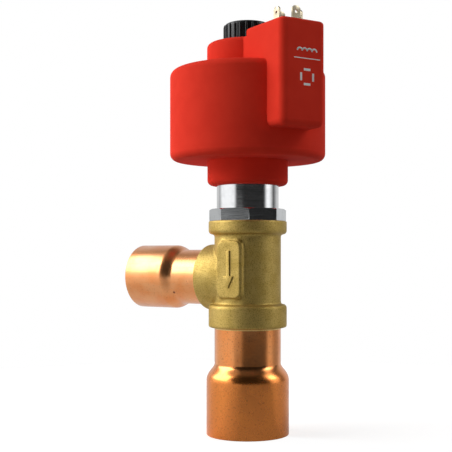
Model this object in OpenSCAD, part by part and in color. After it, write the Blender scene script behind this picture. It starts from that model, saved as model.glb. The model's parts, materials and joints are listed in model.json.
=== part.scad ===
// Electronic expansion valve with a stepper coil on top of a brass angle body.
// Millimetres. The origin is the centre of the outlet socket's mouth, +Z runs up
// the stem, and the inlet socket points along -X.

/* [Outlet fitting] */
// Diameter of the pipe that goes into the outlet socket
outlet_pipe_d = 35; // [33:0.5:40]
// Wall of the outlet fitting
outlet_wall = 1.4; // [1:0.1:1.8]
// Length of the outlet's belled socket
outlet_bell_len = 24.2; // [20:0.1:36]
// Length of the shoulder between the outlet's socket and its neck
outlet_shoulder_len = 8.4; // [4:0.1:10]
// Outside diameter of the outlet's neck
outlet_neck_d = 30.6; // [28:0.1:31]
// Length of the outlet's neck that shows below the body
outlet_neck_len = 16.6; // [12:0.1:24]
// Depth of the outlet's neck inside the body
outlet_insert = 6; // [4:0.5:7]

/* [Inlet fitting] */
// Diameter of the pipe that goes into the inlet socket
inlet_pipe_d = 28; // [26:0.5:32]
// Wall of the inlet fitting
inlet_wall = 1; // [0.8:0.1:1.5]
// Length of the inlet's belled socket
inlet_bell_len = 20.4; // [18:0.2:30]
// Length of the shoulder between the inlet's socket and its neck
inlet_shoulder_len = 6.4; // [4:0.2:9]
// Outside diameter of the inlet's neck
inlet_neck_d = 25.8; // [24:0.1:26]
// Length of the inlet's neck that shows beside the body
inlet_neck_len = 13.6; // [8:0.2:20]
// Depth of the inlet's neck inside the body
inlet_insert = 6; // [4:0.5:6.5]
// Radial clearance between a socket and its pipe
socket_clear = 0.1; // [0.06:0.01:0.2]

/* [Body] */
// Diameter of the barrel
barrel_d = 30.6; // [29:0.1:32]
// Height of the barrel between its two flanges
barrel_h = 32.1; // [31:0.1:40]
// Diameter of the lower flange
lower_flange_d = 36; // [34:0.1:38]
// Height of the lower flange
lower_flange_h = 10.6; // [9:0.1:12]
// Diameter of the upper flange
upper_flange_d = 36; // [35.4:0.1:38]
// Height of the upper flange
upper_flange_h = 6.1; // [5:0.1:8]
// Diameter of the inlet branch
branch_d = 30.8; // [29:0.1:32]
// Distance from the barrel's axis to the end of the branch
branch_reach = 20.5; // [20:0.5:28]
// Height of the branch's axis above the lower flange
branch_rise = 12.2; // [12:0.1:16]
// Diameter of the passage from the branch into the barrel
passage_d = 20.6; // [18:0.2:21]
// Width of the raised pad on the front of the barrel
pad_w = 12; // [8:0.5:14]
// Height of the raised pad
pad_h = 25.4; // [18:0.2:28]
// Height of the pad's face above the barrel
pad_proud = 0.8; // [0.4:0.1:2]

/* [Motor cartridge] */
// Distance across the corners of the octagonal collar
collar_corner_d = 35.4; // [34:0.1:38]
// Height of the octagonal part of the collar
collar_h = 5.5; // [4:0.1:8]
// Turn of the collar's first corner from the +X axis
collar_turn = -10; // [-45:1:45]
// Diameter of the collar's threaded skirt
skirt_d = 26.8; // [25.5:0.1:27.2]
// Length of the collar's threaded skirt
skirt_len = 10; // [8:0.5:12]
// Outside diameter of the motor can
can_d = 28.5; // [27.6:0.1:29]
// Wall of the motor can
can_wall = 0.8; // [0.5:0.1:1]
// Length of the can that shows between collar and coil
can_show = 10.8; // [8:0.2:16]
// Diameter of the stud on top of the can
stud_d = 10; // [8:0.5:12]

/* [Coil] */
// Diameter of the coil's drum
drum_d = 71.3; // [66:0.1:76]
// Height of the coil's drum
drum_h = 41.2; // [38:0.1:46]
// Radius of the drum's edges
drum_round = 3.2; // [1:0.1:4]
// Diameter of the neck below the drum
neck_d = 37.1; // [35.5:0.1:40]
// Height of the neck below the drum
neck_h = 11.2; // [9:0.1:16]
// Diameter of the boss above the drum
boss_d = 37.4; // [34:0.1:40]
// Height of the boss above the drum
boss_h = 12.5; // [9:0.1:16]
// Outside diameter of the stator's yoke cups
yoke_d = 50; // [48:0.5:54]
// Turn of the connector from the +X axis
coil_turn = -25; // [-90:1:90]

/* [Connector] */
// Width of the connector block
block_w = 23; // [19:0.1:27]
// Distance from the coil's axis to the block's outer face
block_out = 45.3; // [43:0.1:50]
// Distance from the coil's axis to the block's inner face above the boss
block_in = 17.4; // [15:0.1:20]
// Height of the block's top above the boss
block_rise = 2.8; // [1.5:0.1:5]
// Height of the block's foot above the drum's underside
block_lift = 11.2; // [5:0.2:12]
// Plastic between the yoke cups and the nearest blade
blade_cover = 1.8; // [1:0.1:3]
// Distance of each blade from the middle of the four
blade_offset = 5.8; // [5:0.1:7]
// Width of a blade
blade_w = 4.2; // [4:0.1:5.2]
// Thickness of a blade
blade_t = 0.8; // [0.6:0.1:1]
// Length of a blade above the block
blade_len = 6.8; // [6:0.1:10]

/* [Fixing nut] */
// Diameter of the fixing nut over its ribs
nut_d = 22.6; // [20:0.2:26]
// Height of the fixing nut
nut_h = 9; // [8:0.1:12]
// Number of ribs around the fixing nut
nut_ribs = 24; // [16:1:28]

/* [Moving parts] */
// Travel of the plunger from closed to open
stroke = 15; // [12:0.5:16]
// Diameter of the plunger
plunger_d = 16.9; // [16.4:0.1:17.4]
// Diameter of the lead screw
screw_d = 6; // [5:0.1:6.4]
// Diameter of the valve's port
port_d = 13.2; // [12:0.1:13.8]
// Air gap between the rotor magnet and the can
magnet_gap = 0.45; // [0.2:0.05:1]
// Length of the rotor magnet
magnet_len = 28; // [24:0.5:30]

/* [Hidden] */
$fn = 96;

// Shape of the fittings' shoulders; a skew above 1 makes the bell's own corner the softer one
shoulder_steps = 14;
shoulder_skew = 1.5;

// Clearances shared by every fit
fit_gap = 0.05;
running_gap = 0.08;
cut = 1;

// Heights of the body, from the outlet's mouth up
body_z = outlet_bell_len + outlet_shoulder_len + outlet_neck_len;
lower_flange_z = body_z + lower_flange_h;
barrel_z = lower_flange_z + barrel_h;
body_top_z = barrel_z + upper_flange_h;
branch_z = lower_flange_z + branch_rise;
inlet_mouth_x = branch_reach + inlet_neck_len + inlet_shoulder_len + inlet_bell_len;

// Seat and chamber inside the body
seat_lip_h = 1.9;
seat_lip_w = 3;
seat_h = 4.5;
seat_d = 22;
seat_z = body_z + outlet_insert + seat_lip_h;
seat_face_z = seat_z + seat_h;
thread_step = 1.1;
chamber_d = skirt_d - 2 * thread_step;
skirt_z = body_top_z - skirt_len;
skirt_end_gap = 0.2;
gasket_land = 0.6;
gasket_w = 1.6;
gasket_in = skirt_d / 2 + gasket_land;
gasket_out = gasket_in + gasket_w;
gasket_h = 1;

// Edges of the body, its pad and the collar
round_share = 0.62;
fillet_share = 0.36;
edge_round = 0.8;
pad_reach = barrel_d / 2 + pad_proud;
pad_round = 2.4;
pad_foot_w = 0.8;
pad_foot_drop = 0.9;
collar_chamfer = 1;
collar_foot_chamfer = 0.3;
chamfer_angle = 30;

// Heights of the cartridge and the coil
collar_z = body_top_z + collar_h;
neck_z = collar_z + can_show;
drum_z = neck_z + neck_h;
drum_top_z = drum_z + drum_h;
boss_z = drum_top_z + boss_h;
block_z = boss_z + block_rise;
block_foot_z = drum_z + block_lift;
web_drop = 0.6;
neck_round = 2.4;
boss_round = 2;
block_side_round = 2;
block_foot_round = 4;
block_top_round = 1.4;
block_crown_round = 4;

// Stator: two claw-pole phases, one above the other
stack_z = (drum_z + drum_top_z) / 2;
phase_h = 17;
yoke_t = 1.5;
pole_gap = 0.3;
bore_d = can_d + 2 * running_gap;
pole_in = bore_d / 2 + pole_gap;
pole_teeth = 12;
tooth_angle = 11;
tooth_gap = 1.5;
bobbin_wall = 1.2;
bobbin_in = pole_in + yoke_t + running_gap;
bobbin_out = yoke_d / 2 - yoke_t - running_gap;
winding_fill = 0.9;
winding_out = bobbin_out - winding_fill;
lead_d = 0.8;
lead_hole_d = 1.8;

// Rotor and its two ball bearings
bearing_w = 3.5;
race_section = 3.5;
bearing_d = screw_d + 2 * race_section;
ball_d = 1.9;
ball_count = 8;
ball_room = 0.05;
cage_room = 0.1;
cage_end = 0.2;
pitch_r = (screw_d + bearing_d) / 4 + cage_room;
race_gap = 0.45;
hub_rim = 1;
spacer_len = 1.6;
lower_spacer_len = 4.2;
holder_lip = 0.5;
holder_clear = 1.4;
can_cap = 1.2;
magnet_d = can_d - 2 * can_wall - 2 * magnet_gap;
magnet_wall = 4.8;
upper_bearing_z = stack_z + magnet_len / 2 + hub_rim + spacer_len;
lower_bearing_z = stack_z - magnet_len / 2 - hub_rim - lower_spacer_len - bearing_w;
can_roof_z = upper_bearing_z + bearing_w + holder_lip;
can_top_z = can_roof_z + can_cap;
can_seat = 1.5;
can_end_gap = 0.2;

// Sleeve, carriage and plunger
sleeve_wall = 1.45;
sleeve_drop = 22;
sleeve_d = plunger_d + 2 * running_gap + 2 * sleeve_wall;
sleeve_top_z = lower_bearing_z - holder_lip;
sleeve_foot_z = body_top_z - sleeve_drop;
carriage_h = 10;
carriage_end_gap = 1;
carriage_z = sleeve_top_z - carriage_end_gap - stroke - carriage_h;
spigot_d = 10;
spigot_len = 5;
ear_w = 3;
ear_h = 8;
ear_gap = 0.2;
ear_out = sleeve_d / 2 - ear_gap;
slot_end = 0.5;
screw_end = 4;
screw_chamfer = 0.6;
screw_room = 0.6;
screw_foot_z = carriage_z - screw_end;
seal_h = 2.5;
seal_land = 0.8;
cone_gap = 0.4;
cone_top_d = port_d - 2 * cone_gap;
cone_tip_d = 5;
cone_stem_d = 6;
cone_stem_len = 6;
plunger_z = seat_face_z + seal_h;
plunger_bore_end = 3;
plunger_bore_z = screw_foot_z - stroke - plunger_bore_end;

// Fixing nut on its stud
nut_gap = 0.3;
nut_ring_t = 2;
nut_ring_d = stud_d + 2.5 * nut_ring_t;
nut_z = boss_z + nut_gap;
nut_roof = 1.6;
rib_groove_r = 1.05;
rib_groove_out = 0.37;
nut_edge = 0.9;
stud_end_gap = 0.6;
stud_chamfer = 0.8;
stud_top_z = nut_z + nut_h - nut_roof - stud_end_gap;

// Seal ring in the neck of the coil
neck_ring_t = 2;
neck_ring_rise = 4;
neck_ring_z = neck_z + neck_ring_rise;
neck_ring_r = can_d / 2 + running_gap + neck_ring_t / 2;

// Blades: place in the block, whether they face sideways, and the foot of the tail
blade_middle = yoke_d / 2 + blade_cover + blade_t / 2 + blade_offset;
blade_hole_d = 1.5;
blade_hole_drop = 2.6;
blade_tip = 1.1;
blade_root = 3;
lead_high_z = stack_z + phase_h / 2;
lead_drop = 2;
lead_step = 3;
lead_start_gap = 0.1;
lead_low_z = stack_z - yoke_t - bobbin_wall - lead_drop;
lead_rise = 1;
insert_d = 4.8;
insert_len = 9;
insert_bore_d = 2.5;
tail_w = 3;
BLADES = [
    [blade_middle, -blade_offset, true, lead_high_z],
    [blade_middle, blade_offset, true, lead_high_z],
    [blade_middle + blade_offset, 0, false, lead_low_z - lead_step],
    [blade_middle - blade_offset, 0, false, lead_low_z]
];

// Removes the corner of a flat profile at a point, leaving an arc; out points away from the material
module corner_cut(at, r, out) {
    centre = at - r * out;
    difference() {
        translate(centre + out * (r + cut) / 2) square(r + cut, center = true);
        translate(centre) circle(r);
    }
}

// Fills an inside corner of a flat profile with an arc; out points into the open space
module corner_fill(at, r, out) {
    difference() {
        translate(at + out * (r - cut) / 2) square(r + cut, center = true);
        translate(at + out * r) circle(r);
    }
}

// A rectangle in a turning profile, from two radii and two heights
module band(r_in, r_out, z_low, z_high) {
    translate([r_in, z_low]) square([r_out - r_in, z_high - z_low]);
}

module ring(r_in, r_out, z_low, z_high) {
    rotate_extrude() band(r_in, r_out, z_low, z_high);
}

module seal_ring(r_middle, thickness, z_middle) {
    rotate_extrude() translate([r_middle, z_middle]) circle(thickness / 2, $fn = 48);
}

// A smooth step from 0 to 1
function ease(t) = t * t * (3 - 2 * t);

// Points of a shoulder between two radii, from the bell to the neck
function shoulder_points(bell_r, neck_r, low, high) = [
    for (i = [0 : shoulder_steps])
        let (share = i / shoulder_steps)
        [bell_r + (neck_r - bell_r) * ease(pow(share, shoulder_skew)), low + (high - low) * share]
];

// Points of a belled tube's wall, from the mouth to the end of the neck
function bell_points(bell_r, neck_r, bell_len, shoulder_len, length) = concat(
    [[bell_r, 0]],
    shoulder_points(bell_r, neck_r, bell_len, bell_len + shoulder_len),
    [[neck_r, length]]
);

function reversed(list) = [for (i = [len(list) - 1 : -1 : 0]) list[i]];

// A copper fitting with its mouth at the origin and its neck along +Z
module belled_fitting(pipe_d, wall, bell_len, shoulder_len, neck_d, length) {
    socket_r = pipe_d / 2 + socket_clear;
    outside = bell_points(socket_r + wall, neck_d / 2, bell_len, shoulder_len, length);
    inside = bell_points(socket_r, neck_d / 2 - wall, bell_len, shoulder_len, length);
    rotate_extrude() polygon(concat(outside, reversed(inside)));
}

module outlet_fitting() {
    color("#c8743f")
        belled_fitting(outlet_pipe_d, outlet_wall, outlet_bell_len, outlet_shoulder_len,
                       outlet_neck_d, body_z + outlet_insert);
}

module inlet_fitting() {
    length = inlet_mouth_x - branch_reach + inlet_insert;
    color("#d58650") translate([-inlet_mouth_x, 0, branch_z]) rotate([0, 90, 0])
        belled_fitting(inlet_pipe_d, inlet_wall, inlet_bell_len, inlet_shoulder_len,
                       inlet_neck_d, length);
}

// Outline of the barrel and its flanges, turned about the stem
module barrel_profile() {
    barrel_r = barrel_d / 2;
    lower_r = lower_flange_d / 2;
    upper_r = upper_flange_d / 2;
    lower_step = lower_r - barrel_r;
    upper_step = upper_r - barrel_r;
    difference() {
        union() {
            band(0, barrel_r, body_z, body_top_z);
            band(0, lower_r, body_z, lower_flange_z);
            band(0, upper_r, barrel_z, body_top_z);
            corner_fill([barrel_r, lower_flange_z], fillet_share * lower_step, [1, 1]);
            corner_fill([barrel_r, barrel_z], fillet_share * upper_step, [1, -1]);
        }
        corner_cut([lower_r, lower_flange_z], round_share * lower_step, [1, 1]);
        corner_cut([lower_r, body_z], edge_round, [1, -1]);
        corner_cut([upper_r, barrel_z], round_share * upper_step, [1, -1]);
        corner_cut([upper_r, body_top_z], edge_round / 2, [1, 1]);
    }
}

// Flat outline of the pad, grown by an amount on every side
module pad_outline(grow) {
    w = pad_w + 2 * grow;
    h = pad_h + 2 * grow;
    r = pad_round + grow;
    difference() {
        square([w, h], center = true);
        for (x = [-1, 1], y = [-1, 1]) corner_cut([x * w / 2, y * h / 2], r, [x, y]);
    }
}

// The pad stands on a low foot that is a little larger than its face
module pad() {
    translate([0, 0, (lower_flange_z + barrel_z) / 2]) rotate([90, 0, 0]) {
        linear_extrude(pad_reach) pad_outline(0);
        linear_extrude(pad_reach - pad_foot_drop) pad_outline(pad_foot_w);
    }
}

module branch() {
    translate([0, 0, branch_z]) rotate([0, -90, 0]) rotate_extrude() difference() {
        band(0, branch_d / 2, 0, branch_reach);
        corner_cut([branch_d / 2, branch_reach], edge_round, [1, 1]);
    }
}

module valve_body() {
    socket_x = branch_reach - inlet_insert;
    color("#a98d3c") difference() {
        union() {
            rotate_extrude() barrel_profile();
            branch();
            pad();
        }
        // outlet socket, seat lip, seat, chamber and collar thread, from below
        rotate_extrude() {
            band(0, outlet_neck_d / 2 + fit_gap, body_z - cut, body_z + outlet_insert);
            band(0, port_d / 2 + seat_lip_w, body_z - cut, seat_z + cut);
            band(0, seat_d / 2 + fit_gap, seat_z, seat_face_z + cut);
            band(0, chamber_d / 2, seat_face_z, body_top_z + cut);
            band(0, skirt_d / 2 + fit_gap, skirt_z - skirt_end_gap, body_top_z + cut);
            band(gasket_in - fit_gap, gasket_out + fit_gap, body_top_z - gasket_h, body_top_z + cut);
        }
        translate([0, 0, branch_z]) rotate([0, -90, 0]) {
            cylinder(d = passage_d, h = branch_reach + cut);
            translate([0, 0, socket_x])
                cylinder(d = inlet_neck_d + 2 * fit_gap, h = inlet_insert + cut);
        }
    }
}

module collar_gasket() {
    color("#e8e6dc") ring(gasket_in, gasket_out, body_top_z - gasket_h, body_top_z);
}

// Eight flats whose corners are chamfered off at both ends, as on a turned nut
module octagon() {
    corner_r = collar_corner_d / 2;
    foot_r = corner_r - collar_foot_chamfer;
    top_r = corner_r - collar_chamfer;
    out_r = corner_r + cut;
    slope = tan(chamfer_angle);
    intersection() {
        rotate([0, 0, collar_turn]) cylinder(r = corner_r, h = collar_h, $fn = 8);
        rotate_extrude() polygon([
            [0, 0], [foot_r, 0], [out_r, slope * (out_r - foot_r)],
            [out_r, collar_h - slope * (out_r - top_r)], [top_r, collar_h], [0, collar_h]
        ]);
    }
}

module cartridge_collar() {
    color("#aeb4b8") difference() {
        union() {
            translate([0, 0, body_top_z]) octagon();
            ring(sleeve_d / 2 + fit_gap, skirt_d / 2, skirt_z, body_top_z + cut);
        }
        translate([0, 0, skirt_z - cut])
            cylinder(d = sleeve_d + 2 * fit_gap, h = skirt_len + collar_h + 2 * cut);
        translate([0, 0, collar_z - can_seat])
            cylinder(d = can_d + 2 * fit_gap, h = can_seat + cut);
    }
}

// Thin can, closed at the top, standing in the collar's seat
module motor_can() {
    color("#c9ced2") rotate_extrude() {
        band(can_d / 2 - can_wall, can_d / 2, collar_z - can_seat, can_top_z);
        band(0, can_d / 2, can_roof_z, can_top_z);
    }
}

module can_stud() {
    r = stud_d / 2;
    color("#b9bec2") rotate_extrude() polygon([
        [0, can_top_z], [r, can_top_z], [r, stud_top_z - stud_chamfer],
        [r - stud_chamfer, stud_top_z], [0, stud_top_z]
    ]);
}

// Bearing carrier pressed into the can, open towards the rotor; its lip stops the outer race
module bearing_holder(bearing_z, up) {
    low = up ? bearing_z : bearing_z - holder_lip;
    lip_r = screw_d / 2 + holder_clear;
    color("#9aa0a4") rotate_extrude() difference() {
        band(lip_r, can_d / 2 - can_wall - fit_gap, low, low + bearing_w + holder_lip);
        band(0, bearing_d / 2 + fit_gap, bearing_z - (up ? cut : 0), bearing_z + bearing_w + (up ? 0 : cut));
    }
}

module ball_groove(z_low) {
    seal_ring(pitch_r, ball_d + 2 * ball_room, z_low + bearing_w / 2);
}

module outer_race(z_low) {
    color("#c4c8cb") difference() {
        ring(pitch_r + race_gap, bearing_d / 2, z_low, z_low + bearing_w);
        ball_groove(z_low);
    }
}

module inner_race(z_low) {
    color("#c4c8cb") difference() {
        ring(screw_d / 2, pitch_r - race_gap, z_low, z_low + bearing_w);
        ball_groove(z_low);
    }
}

module at_each_ball(z_low) {
    for (i = [0 : ball_count - 1])
        rotate([0, 0, i * 360 / ball_count]) translate([pitch_r, 0, z_low + bearing_w / 2]) children();
}

module bearing_balls(z_low) {
    color("#d9dcde") at_each_ball(z_low) sphere(d = ball_d, $fn = 32);
}

// Crown cage: a thin ring below the balls with a pocket for each
module bearing_cage(z_low) {
    color("#b08d45") difference() {
        ring(pitch_r - race_gap + cage_room, pitch_r + race_gap - cage_room,
             z_low + cage_end, z_low + bearing_w / 2 + cage_end);
        at_each_ball(z_low) sphere(d = ball_d + 2 * ball_room, $fn = 32);
    }
}

module rotor_magnet() {
    r_out = magnet_d / 2;
    color("#3b3b3d")
        ring(r_out - magnet_wall, r_out, stack_z - magnet_len / 2, stack_z + magnet_len / 2);
}

// Hub inside the magnet, with a spacer at each end that rests on an inner race
module rotor_hub() {
    r_bore = screw_d / 2;
    r_out = magnet_d / 2 - magnet_wall - fit_gap;
    spacer_r = pitch_r - race_gap - cage_room;
    half = magnet_len / 2 + hub_rim;
    color("#d8d2c0") rotate_extrude() {
        band(r_bore, r_out, stack_z - half, stack_z + half);
        band(r_bore, spacer_r, lower_bearing_z + bearing_w, upper_bearing_z);
    }
}

module lead_screw() {
    r = screw_d / 2 - fit_gap / 2;
    top = upper_bearing_z + bearing_w;
    color("#bfc4c8") rotate_extrude() polygon([
        [0, screw_foot_z], [r - screw_chamfer, screw_foot_z], [r, screw_foot_z + screw_chamfer],
        [r, top], [0, top]
    ]);
}

// Fixed tube that guides the plunger, slotted so that the carriage cannot turn
module guide_sleeve() {
    slot_w = ear_w + 2 * running_gap;
    slot_z = carriage_z + (carriage_h - ear_h) / 2 - slot_end;
    slot_top = slot_z + ear_h + stroke + 2 * slot_end;
    color("#b7a36a") difference() {
        ring(plunger_d / 2 + running_gap, sleeve_d / 2, sleeve_foot_z, sleeve_top_z);
        translate([-slot_w / 2, -sleeve_d, slot_z]) cube([slot_w, 2 * sleeve_d, slot_top - slot_z]);
    }
}

// Threaded block that climbs the lead screw; its two ears run in the sleeve's slots
module carriage_nut() {
    ear_z = carriage_z + (carriage_h - ear_h) / 2;
    color("#b98a3e") difference() {
        union() {
            ring(0, plunger_d / 2, carriage_z, carriage_z + carriage_h);
            ring(0, spigot_d / 2, carriage_z - spigot_len, carriage_z + cut);
            translate([-ear_w / 2, -ear_out, ear_z]) cube([ear_w, 2 * ear_out, ear_h]);
        }
        translate([0, 0, carriage_z - spigot_len - cut])
            cylinder(d = screw_d + fit_gap, h = carriage_h + spigot_len + 2 * cut);
    }
}

module plunger() {
    color("#c0c5c9") rotate_extrude() difference() {
        band(0, plunger_d / 2, plunger_z, carriage_z);
        band(0, screw_d / 2 + screw_room, plunger_bore_z, carriage_z + cut);
        band(0, spigot_d / 2 + fit_gap, carriage_z - spigot_len, carriage_z + cut);
        band(0, cone_stem_d / 2 + fit_gap, plunger_z - cut, plunger_z + cone_stem_len);
    }
}

// Tapered nose that opens the port gradually; its shoulder holds the seal against the plunger
module metering_cone() {
    stem_r = cone_stem_d / 2;
    land_r = port_d / 2 - seal_land;
    stem_top = plunger_z + cone_stem_len;
    tip_z = seat_face_z - stroke;
    color("#c7a24a") rotate_extrude() polygon([
        [0, tip_z], [cone_tip_d / 2, tip_z], [cone_top_d / 2, seat_face_z], [land_r, seat_face_z],
        [land_r, plunger_z], [stem_r, plunger_z], [stem_r, stem_top], [0, stem_top]
    ]);
}

module plunger_seal() {
    color("#efeee8")
        ring(port_d / 2 - seal_land + fit_gap, plunger_d / 2 - running_gap, seat_face_z, plunger_z);
}

module seat_ring() {
    color("#b49a4e") ring(port_d / 2, seat_d / 2, seat_z, seat_face_z);
}

// Fluted cap nut with a groove under it for the seal ring
module fixing_nut() {
    r = nut_d / 2;
    color("#1d1e20") difference() {
        rotate_extrude() difference() {
            band(0, r, nut_z, nut_z + nut_h);
            corner_cut([r, nut_z + nut_h], nut_edge, [1, 1]);
            band(0, stud_d / 2 + fit_gap, nut_z - cut, nut_z + nut_h - nut_roof);
            band((nut_ring_d - nut_ring_t) / 2 - fit_gap, (nut_ring_d + nut_ring_t) / 2 + fit_gap,
                 nut_z - cut, boss_z + nut_ring_t + fit_gap);
        }
        for (i = [0 : nut_ribs - 1]) rotate([0, 0, i * 360 / nut_ribs])
            translate([r + rib_groove_out, 0, nut_z - cut])
                cylinder(r = rib_groove_r, h = nut_h + 2 * cut, $fn = 32);
    }
}

module nut_seal_ring() {
    color("#151515") seal_ring(nut_ring_d / 2, nut_ring_t, boss_z + nut_ring_t / 2);
}

module neck_seal_ring() {
    color("#151515") seal_ring(neck_ring_r, neck_ring_t, neck_ring_z);
}

// Everything of the coil is drawn with its connector along +X, then turned
module coil_turned() {
    rotate([0, 0, coil_turn]) children();
}

// A yoke cup of one phase: outer wall, end plate and the teeth bent along the bore
module yoke_cup(up) {
    low = up ? stack_z : stack_z - phase_h;
    high = low + phase_h;
    end_z = up ? high - yoke_t : low;
    teeth_low = up ? low + yoke_t + tooth_gap : low;
    teeth_high = up ? high : high - yoke_t - tooth_gap;
    first_blade = up ? 0 : 2;
    color("#8f9498") coil_turned() difference() {
        rotate_extrude() {
            band(yoke_d / 2 - yoke_t, yoke_d / 2, low, high);
            band(pole_in, yoke_d / 2, end_z, end_z + yoke_t);
            band(pole_in, pole_in + yoke_t, teeth_low, teeth_high);
        }
        tooth_slots(up ? low : low + yoke_t, up ? high - yoke_t : high, 0.5);
        for (b = [first_blade, first_blade + 1])
            translate([pole_in + 2 * yoke_t, BLADES[b][1], lead_z(b)]) rotate([0, 90, 0])
                cylinder(d = lead_hole_d, h = yoke_d, $fn = 24);
    }
}

// Slots that leave a ring of claw teeth along the bore; shift is in tooth pitches
module tooth_slots(z_low, z_high, shift) {
    pitch = 360 / pole_teeth;
    slot_w = 2 * pole_in * sin((pitch - tooth_angle) / 2);
    for (i = [0 : pole_teeth - 1]) rotate([0, 0, (i + shift) * pitch])
        translate([pole_in - cut, -slot_w / 2, z_low])
            cube([yoke_t + 2 * cut, slot_w, z_high - z_low]);
}

// The inner plate of one phase, with teeth that lie between the cup's own
module pole_plate(up) {
    base_z = up ? stack_z : stack_z - yoke_t;
    teeth_low = up ? stack_z : stack_z - phase_h + yoke_t + tooth_gap;
    teeth_high = up ? stack_z + phase_h - yoke_t - tooth_gap : stack_z;
    color("#8f9498") coil_turned() difference() {
        rotate_extrude() {
            band(pole_in, yoke_d / 2 - yoke_t - fit_gap, base_z, base_z + yoke_t);
            band(pole_in, pole_in + yoke_t, teeth_low, teeth_high);
        }
        tooth_slots(up ? stack_z + yoke_t : teeth_low - cut, up ? teeth_high + cut : stack_z - yoke_t, 0);
    }
}

function bobbin_low(up) = up ? stack_z + yoke_t : stack_z - phase_h + yoke_t;
function bobbin_high(up) = bobbin_low(up) + phase_h - 2 * yoke_t;

module bobbin(up) {
    low = bobbin_low(up);
    high = bobbin_high(up);
    color("#e3dcc4") rotate_extrude() {
        band(bobbin_in, bobbin_in + bobbin_wall, low, high);
        band(bobbin_in, bobbin_out, low, low + bobbin_wall);
        band(bobbin_in, bobbin_out, high - bobbin_wall, high);
    }
}

module winding(up) {
    color("#b5652c") ring(bobbin_in + bobbin_wall + fit_gap, winding_out,
                          bobbin_low(up) + bobbin_wall, bobbin_high(up) - bobbin_wall);
}

function lead_z(b) = BLADES[b][3] + lead_rise;

// Flat outline of a blade: the tongue above the block and the narrower tail below it
module blade_outline(foot_z) {
    top = block_z + blade_len;
    root = block_z - blade_root;
    half = blade_w / 2;
    tail = tail_w / 2;
    difference() {
        polygon([
            [-tail, foot_z], [tail, foot_z], [tail, root], [half, root],
            [half, top - 2 * blade_tip], [half - blade_tip, top],
            [blade_tip - half, top], [-half, top - 2 * blade_tip], [-half, root], [-tail, root]
        ]);
        translate([0, top - blade_hole_drop]) circle(d = blade_hole_d, $fn = 32);
    }
}

module blade(b) {
    place = BLADES[b];
    translate([place[0], place[1], 0]) rotate([0, 0, place[2] ? 0 : 90]) rotate([90, 0, 0])
        translate([0, 0, -blade_t / 2]) linear_extrude(blade_t) blade_outline(place[3]);
}

module terminal_blade(b) {
    color("#d9c9a0") coil_turned() blade(b);
}

// A lead runs from the winding straight out to the inner edge of its blade's tail
module lead(b) {
    start = winding_out + lead_start_gap;
    tail_in = BLADES[b][0] - (BLADES[b][2] ? tail_w : blade_t) / 2;
    translate([start, BLADES[b][1], lead_z(b)]) rotate([0, 90, 0])
        cylinder(d = lead_d, h = tail_in - start, $fn = 24);
}

module winding_leads() {
    color("#b5652c") coil_turned() for (b = [0 : 3]) lead(b);
}

module connector_insert() {
    color("#b8983f") coil_turned() translate([blade_middle, 0, block_z - insert_len]) difference() {
        cylinder(d = insert_d, h = insert_len);
        translate([0, 0, -cut]) cylinder(d = insert_bore_d, h = insert_len + 2 * cut, $fn = 32);
    }
}

// Turned outline of the coil: neck, drum and boss
module coil_profile() {
    difference() {
        union() {
            band(0, neck_d / 2, neck_z, drum_z + cut);
            band(0, drum_d / 2, drum_z, drum_top_z);
            band(0, boss_d / 2, drum_top_z - cut, boss_z);
        }
        corner_cut([neck_d / 2, neck_z], neck_round, [1, -1]);
        corner_cut([drum_d / 2, drum_z], drum_round, [1, -1]);
        corner_cut([drum_d / 2, drum_top_z], drum_round, [1, 1]);
        corner_cut([boss_d / 2, boss_z], boss_round, [1, 1]);
    }
}

// Side view of the connector block: upright above the boss, and a web that runs in to it
module block_side() {
    difference() {
        band(block_in, block_out, block_foot_z, block_z);
        corner_cut([block_out, block_z], block_top_round, [1, 1]);
        corner_cut([block_in, block_z], block_top_round, [-1, 1]);
        corner_cut([block_out, block_foot_z], block_foot_round, [1, -1]);
    }
    band(0, block_in + cut, block_foot_z + block_foot_round, boss_z - web_drop);
}

// Front view of the connector block
module block_front() {
    difference() {
        translate([-block_w / 2, block_foot_z]) square([block_w, block_z - block_foot_z]);
        for (s = [-1, 1]) {
            corner_cut([s * block_w / 2, block_z], block_crown_round, [s, 1]);
            corner_cut([s * block_w / 2, block_foot_z], block_foot_round, [s, -1]);
        }
    }
}

// Plan view of the connector block
module block_plan() {
    difference() {
        translate([0, -block_w / 2]) square([block_out, block_w]);
        for (s = [-1, 1]) corner_cut([block_out, s * block_w / 2], block_side_round, [1, s]);
    }
}

module connector_block() {
    intersection() {
        rotate([90, 0, 0]) translate([0, 0, -block_w]) linear_extrude(2 * block_w) block_side();
        rotate([90, 0, 90]) linear_extrude(block_out + cut) block_front();
        translate([0, 0, block_foot_z - cut]) linear_extrude(block_z - block_foot_z + 2 * cut) block_plan();
    }
}

module coil_housing() {
    color("#c1221a") coil_turned() difference() {
        union() {
            rotate_extrude() coil_profile();
            connector_block();
        }
        rotate_extrude() {
            band(0, bore_d / 2, neck_z - cut, can_top_z + can_end_gap);
            band(0, stud_d / 2 + 2 * running_gap, can_top_z - cut, boss_z + cut);
            band(0, yoke_d / 2 + fit_gap, stack_z - phase_h - fit_gap, stack_z + phase_h + fit_gap);
            band(0, neck_ring_r + neck_ring_t / 2 + fit_gap,
                 neck_ring_z - neck_ring_t / 2 - fit_gap, neck_ring_z + neck_ring_t / 2 + fit_gap);
        }
        for (b = [0 : 3]) {
            blade(b);
            lead(b);
        }
        translate([blade_middle, 0, block_z - insert_len]) cylinder(d = insert_d, h = insert_len + cut);
    }
}

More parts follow.
